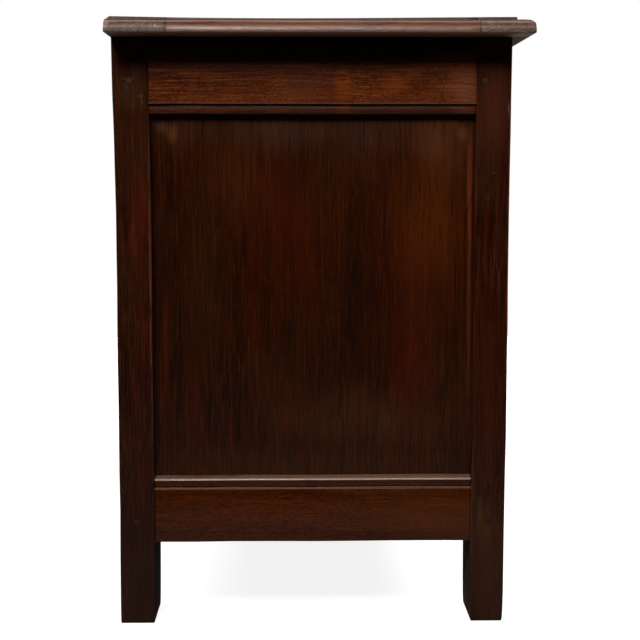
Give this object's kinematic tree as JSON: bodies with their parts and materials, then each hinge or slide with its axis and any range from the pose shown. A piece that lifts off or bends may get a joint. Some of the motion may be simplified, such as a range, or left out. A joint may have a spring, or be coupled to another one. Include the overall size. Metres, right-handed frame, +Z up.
{
  "type": "coffer chest",
  "caption": "Joined oak coffer: panelled walls between stiles that run down into feet, boarded floor, framed lid with a moulded edge on iron hinges, and a lock that bolts the lid shut.",
  "frame": {"origin": "on the ground, under the middle of the whole chest with the lid's overhangs and the hinge barrels counted", "axes": "+X runs along the chest, the front faces -Y and +Z is up; the left end (-X) is the one the picture shows"},
  "size_m": [1.192, 0.4926, 0.7263],
  "materials": {
    "stile_oak": "dark waxed oak",
    "top_rail_oak": "waxed oak, warmest of the frame",
    "bottom_rail_oak": "waxed oak",
    "panel_oak": "dark waxed oak",
    "lid_oak": "worn polished oak",
    "floor_oak": "bare dry oak",
    "peg_oak": "waxed oak end grain",
    "wrought_iron": "dark hand-forged iron"
  },
  "bodies": {
    "carcass": {"front_left_stile": "stile_oak", "back_left_stile": "stile_oak", "front_right_stile": "stile_oak", "back_right_stile": "stile_oak", "front_top_rail": "top_rail_oak", "back_top_rail": "top_rail_oak", "left_top_rail": "top_rail_oak", "right_top_rail": "top_rail_oak", "front_bottom_rail": "bottom_rail_oak", "back_bottom_rail": "bottom_rail_oak", "left_bottom_rail": "bottom_rail_oak", "right_bottom_rail": "bottom_rail_oak", "front_muntin_1": "stile_oak", "front_muntin_2": "stile_oak", "back_muntin_1": "stile_oak", "back_muntin_2": "stile_oak", "left_panel": "panel_oak", "right_panel": "panel_oak", "front_panel_1": "panel_oak", "front_panel_2": "panel_oak", "front_panel_3": "panel_oak", "back_panel_1": "panel_oak", "back_panel_2": "panel_oak", "back_panel_3": "panel_oak", "floor_board_1": "floor_oak", "floor_board_2": "floor_oak", "floor_board_3": "floor_oak", "floor_board_4": "floor_oak", "floor_board_5": "floor_oak", "front_left_top_peg": "peg_oak", "front_left_bottom_peg": "peg_oak", "back_left_top_peg": "peg_oak", "back_left_bottom_peg": "peg_oak", "front_right_top_peg": "peg_oak", "front_right_bottom_peg": "peg_oak", "back_right_top_peg": "peg_oak", "back_right_bottom_peg": "peg_oak", "left_hinge_plate": "wrought_iron", "right_hinge_plate": "wrought_iron", "left_hinge_pin": "wrought_iron", "right_hinge_pin": "wrought_iron", "lock_case": "wrought_iron", "escutcheon": "wrought_iron"},
    "lid": {"lid_front_rail": "lid_oak", "lid_back_rail": "lid_oak", "lid_left_rail": "lid_oak", "lid_right_rail": "lid_oak", "lid_muntin_1": "lid_oak", "lid_muntin_2": "lid_oak", "lid_panel_1": "lid_oak", "lid_panel_2": "lid_oak", "lid_panel_3": "lid_oak", "left_hinge_strap": "wrought_iron", "right_hinge_strap": "wrought_iron", "lid_staple": "wrought_iron"},
    "bolt": {"lock_bolt": "wrought_iron"},
    "key": {"key": "wrought_iron"}
  },
  "joints": [
    {"name": "lid_hinge", "type": "hinge", "parent": "carcass", "child": "lid", "pos_m": [0, 0.24225, 0.7063], "axis": [-1, 0, 0], "range_deg": [0, 95]},
    {"name": "key_turn", "type": "hinge", "parent": "carcass", "child": "key", "pos_m": [0, -0.22825, 0.68], "axis": [0, 1, 0], "range_deg": [0, 360]},
    {"name": "bolt_slide", "type": "slide", "parent": "carcass", "child": "bolt", "axis": [1, 0, 0], "range_m": [0, 0.01]}
  ],
  "couplings": [
    {"joint": "bolt_slide", "follows": "key_turn", "m_per_rad": 0.0015915}
  ]
}
